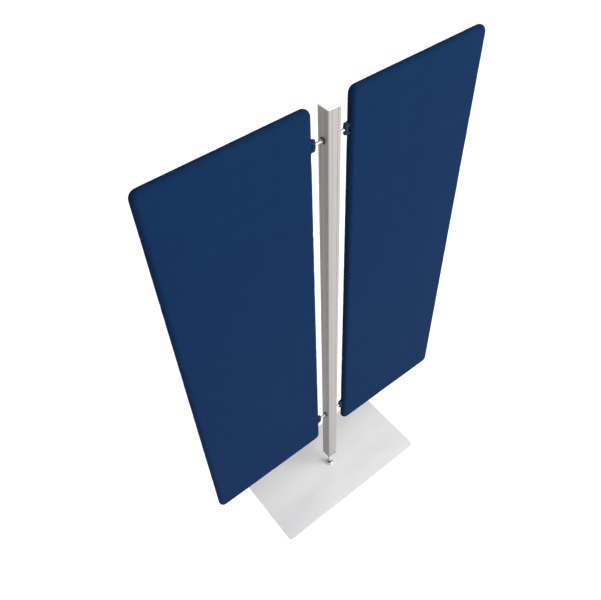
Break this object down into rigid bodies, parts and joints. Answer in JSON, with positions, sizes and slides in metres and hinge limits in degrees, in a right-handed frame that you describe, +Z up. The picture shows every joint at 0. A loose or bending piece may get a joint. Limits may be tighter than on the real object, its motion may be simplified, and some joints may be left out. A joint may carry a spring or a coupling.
{
  "type": "free-standing privacy screen",
  "caption": "Free-standing privacy screen: padded fabric wings hinged each side of a square post, on a stem and a flat rectangular base plate.",
  "frame": {"origin": "on the floor, under the post's axis", "axes": "+X along the panels to the right-hand wing, -Y towards the front, +Z up the post"},
  "size_m": [1.13, 0.36, 1.945],
  "materials": {
    "pad_rubber": "matt black rubber",
    "plate_metal": "satin light grey, fine brushed grain along the plate's length",
    "dark_steel": "blackened steel",
    "bright_steel": "bright zinc or nickel plate",
    "cast_block": "machined",
    "post_aluminium": "satin anodised, drawn lengthwise",
    "white_plastic": "fine-grained white moulding",
    "arm_metal": "satin light aluminium",
    "dark_plastic": "dark grey moulding",
    "frame_timber": "planed softwood",
    "core_felt": "pressed polyester felt",
    "pad_foam": "thin foam-backed felt",
    "cover_fabric": "navy woven upholstery fabric",
    "bracket_paint": "navy powder coat, to match the fabric"
  },
  "bodies": {
    "stand": {"floor_pads": "pad_rubber", "base_plate": "plate_metal", "base_nut": "dark_steel", "stem": "bright_steel", "stem_boss": "bright_steel", "stem_collar": "dark_steel", "foot_plug": "cast_block", "foot_screws": "dark_steel", "post": "post_aluminium", "post_cap": "white_plastic", "upper_arm_block": "cast_block", "lower_arm_block": "cast_block", "left_upper_arm": "arm_metal", "left_lower_arm": "arm_metal", "right_upper_arm": "arm_metal", "right_lower_arm": "arm_metal", "left_upper_barrel": "bracket_paint", "left_lower_barrel": "bracket_paint", "right_upper_barrel": "bracket_paint", "right_lower_barrel": "bracket_paint", "left_upper_bush": "dark_plastic", "left_lower_bush": "dark_plastic", "right_upper_bush": "dark_plastic", "right_lower_bush": "dark_plastic"},
    "left_wing": {"left_inner_stile": "frame_timber", "left_outer_stile": "frame_timber", "left_top_rail": "frame_timber", "left_bottom_rail": "frame_timber", "left_core": "core_felt", "left_front_pad": "pad_foam", "left_rear_pad": "pad_foam", "left_front_cover": "cover_fabric", "left_rear_cover": "cover_fabric", "left_upper_bracket": "bracket_paint", "left_lower_bracket": "bracket_paint", "left_upper_pin": "dark_steel", "left_lower_pin": "dark_steel", "left_upper_washers": "dark_plastic", "left_lower_washers": "dark_plastic", "left_upper_screws": "bright_steel", "left_lower_screws": "bright_steel", "left_pin_clips": "dark_steel"},
    "right_wing": {"right_inner_stile": "frame_timber", "right_outer_stile": "frame_timber", "right_top_rail": "frame_timber", "right_bottom_rail": "frame_timber", "right_core": "core_felt", "right_front_pad": "pad_foam", "right_rear_pad": "pad_foam", "right_front_cover": "cover_fabric", "right_rear_cover": "cover_fabric", "right_upper_bracket": "bracket_paint", "right_lower_bracket": "bracket_paint", "right_upper_pin": "dark_steel", "right_lower_pin": "dark_steel", "right_upper_washers": "dark_plastic", "right_lower_washers": "dark_plastic", "right_upper_screws": "bright_steel", "right_lower_screws": "bright_steel", "right_pin_clips": "dark_steel"}
  },
  "joints": [
    {"name": "left_wing_swing", "type": "hinge", "parent": "stand", "child": "left_wing", "pos_m": [-0.056, 0, 1.145], "axis": [0, 0, 1], "range_deg": [-90, 90]},
    {"name": "right_wing_swing", "type": "hinge", "parent": "stand", "child": "right_wing", "pos_m": [0.056, 0, 1.145], "axis": [0, 0, 1], "range_deg": [-90, 90]}
  ]
}
